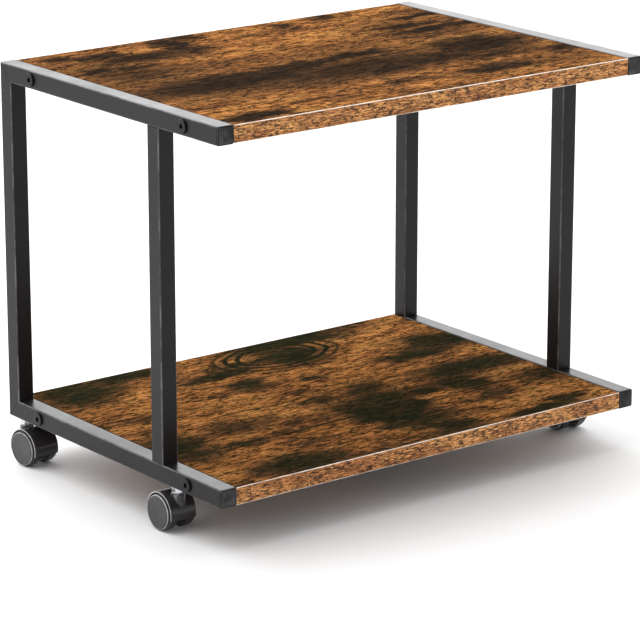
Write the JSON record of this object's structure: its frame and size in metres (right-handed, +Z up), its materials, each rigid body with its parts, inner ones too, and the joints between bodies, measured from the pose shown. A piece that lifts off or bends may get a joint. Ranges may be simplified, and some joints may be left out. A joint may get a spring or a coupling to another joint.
{
  "type": "mobile printer stand",
  "caption": "Rolling stand with an upper and a lower wood-effect shelf bolted between square-tube side frames, on hooded swivel castors.",
  "frame": {"origin": "on the floor under the middle of the stand, at the bottom centre of its box", "axes": "+X along the shelves to the right seen from the front, +Y to the rear, +Z up"},
  "size_m": [0.5896, 0.4, 0.45],
  "materials": {
    "frame_powder_coat": "satin black powder coat",
    "end_cap_plastic": "satin black moulded plastic",
    "board_laminate": "satin rustic wood-effect laminate with dark weathered patches",
    "board_edge_band": "satin wood-effect edge band",
    "bolt_black": "black zinc",
    "insert_zinc": "zinc plated",
    "stem_zinc": "bright zinc plated",
    "axle_steel": "plain steel",
    "castor_hood_nylon": "gloss black nylon",
    "castor_wheel_nylon": "semi-gloss charcoal nylon"
  },
  "bodies": {
    "frame": {"left_bottom_rail": "frame_powder_coat", "left_bottom_end_cap": "end_cap_plastic", "left_top_rail": "frame_powder_coat", "left_top_end_cap": "end_cap_plastic", "left_front_post": "frame_powder_coat", "left_rear_post": "frame_powder_coat", "right_bottom_rail": "frame_powder_coat", "right_bottom_end_cap": "end_cap_plastic", "right_top_rail": "frame_powder_coat", "right_top_end_cap": "end_cap_plastic", "right_front_post": "frame_powder_coat", "right_rear_post": "frame_powder_coat", "bottom_shelf": "board_laminate", "bottom_shelf_front_edge_band": "board_edge_band", "bottom_shelf_rear_edge_band": "board_edge_band", "left_bottom_front_bolt": "bolt_black", "left_bottom_front_insert_nut": "insert_zinc", "left_bottom_rear_bolt": "bolt_black", "left_bottom_rear_insert_nut": "insert_zinc", "right_bottom_front_bolt": "bolt_black", "right_bottom_front_insert_nut": "insert_zinc", "right_bottom_rear_bolt": "bolt_black", "right_bottom_rear_insert_nut": "insert_zinc", "top_shelf": "board_laminate", "top_shelf_front_edge_band": "board_edge_band", "top_shelf_rear_edge_band": "board_edge_band", "left_top_front_bolt": "bolt_black", "left_top_front_insert_nut": "insert_zinc", "left_top_rear_bolt": "bolt_black", "left_top_rear_insert_nut": "insert_zinc", "right_top_front_bolt": "bolt_black", "right_top_front_insert_nut": "insert_zinc", "right_top_rear_bolt": "bolt_black", "right_top_rear_insert_nut": "insert_zinc", "front_left_rivet_nut": "stem_zinc", "front_left_castor_stem": "stem_zinc", "front_right_rivet_nut": "stem_zinc", "front_right_castor_stem": "stem_zinc", "rear_left_rivet_nut": "stem_zinc", "rear_left_castor_stem": "stem_zinc", "rear_right_rivet_nut": "stem_zinc", "rear_right_castor_stem": "stem_zinc"},
    "front_left_castor": {"front_left_castor_hood": "castor_hood_nylon", "front_left_castor_axle": "axle_steel"},
    "front_left_outer_wheel": {"front_left_castor_outer_wheel": "castor_wheel_nylon"},
    "front_left_inner_wheel": {"front_left_castor_inner_wheel": "castor_wheel_nylon"},
    "front_right_castor": {"front_right_castor_hood": "castor_hood_nylon", "front_right_castor_axle": "axle_steel"},
    "front_right_outer_wheel": {"front_right_castor_outer_wheel": "castor_wheel_nylon"},
    "front_right_inner_wheel": {"front_right_castor_inner_wheel": "castor_wheel_nylon"},
    "rear_left_castor": {"rear_left_castor_hood": "castor_hood_nylon", "rear_left_castor_axle": "axle_steel"},
    "rear_left_outer_wheel": {"rear_left_castor_outer_wheel": "castor_wheel_nylon"},
    "rear_left_inner_wheel": {"rear_left_castor_inner_wheel": "castor_wheel_nylon"},
    "rear_right_castor": {"rear_right_castor_hood": "castor_hood_nylon", "rear_right_castor_axle": "axle_steel"},
    "rear_right_outer_wheel": {"rear_right_castor_outer_wheel": "castor_wheel_nylon"},
    "rear_right_inner_wheel": {"rear_right_castor_inner_wheel": "castor_wheel_nylon"}
  },
  "joints": [
    {"name": "front_left_swivel", "type": "hinge", "parent": "frame", "child": "front_left_castor", "pos_m": [-0.275, -0.11, 0.042], "axis": [0, 0, 1], "continuous": true},
    {"name": "front_left_outer_wheel_roll", "type": "hinge", "parent": "front_left_castor", "child": "front_left_outer_wheel", "pos_m": [-0.275, -0.0975, 0.02], "axis": [1, 0, 0], "continuous": true},
    {"name": "front_left_inner_wheel_roll", "type": "hinge", "parent": "front_left_castor", "child": "front_left_inner_wheel", "pos_m": [-0.275, -0.0975, 0.02], "axis": [1, 0, 0], "continuous": true},
    {"name": "front_right_swivel", "type": "hinge", "parent": "frame", "child": "front_right_castor", "pos_m": [0.275, -0.11, 0.042], "axis": [0, 0, 1], "continuous": true},
    {"name": "front_right_outer_wheel_roll", "type": "hinge", "parent": "front_right_castor", "child": "front_right_outer_wheel", "pos_m": [0.27609, -0.09755, 0.02], "axis": [0.9962, -0.0872, 0], "continuous": true},
    {"name": "front_right_inner_wheel_roll", "type": "hinge", "parent": "front_right_castor", "child": "front_right_inner_wheel", "pos_m": [0.27609, -0.09755, 0.02], "axis": [0.9962, -0.0872, 0], "continuous": true},
    {"name": "rear_left_swivel", "type": "hinge", "parent": "frame", "child": "rear_left_castor", "pos_m": [-0.275, 0.18, 0.042], "axis": [0, 0, 1], "continuous": true},
    {"name": "rear_left_outer_wheel_roll", "type": "hinge", "parent": "rear_left_castor", "child": "rear_left_outer_wheel", "pos_m": [-0.27391, 0.16755, 0.02], "axis": [0.9962, 0.0872, 0], "continuous": true},
    {"name": "rear_left_inner_wheel_roll", "type": "hinge", "parent": "rear_left_castor", "child": "rear_left_inner_wheel", "pos_m": [-0.27391, 0.16755, 0.02], "axis": [0.9962, 0.0872, 0], "continuous": true},
    {"name": "rear_right_swivel", "type": "hinge", "parent": "frame", "child": "rear_right_castor", "pos_m": [0.275, 0.18, 0.042], "axis": [0, 0, 1], "continuous": true},
    {"name": "rear_right_outer_wheel_roll", "type": "hinge", "parent": "rear_right_castor", "child": "rear_right_outer_wheel", "pos_m": [0.27391, 0.16755, 0.02], "axis": [0.9962, -0.0872, 0], "continuous": true},
    {"name": "rear_right_inner_wheel_roll", "type": "hinge", "parent": "rear_right_castor", "child": "rear_right_inner_wheel", "pos_m": [0.27391, 0.16755, 0.02], "axis": [0.9962, -0.0872, 0], "continuous": true}
  ]
}
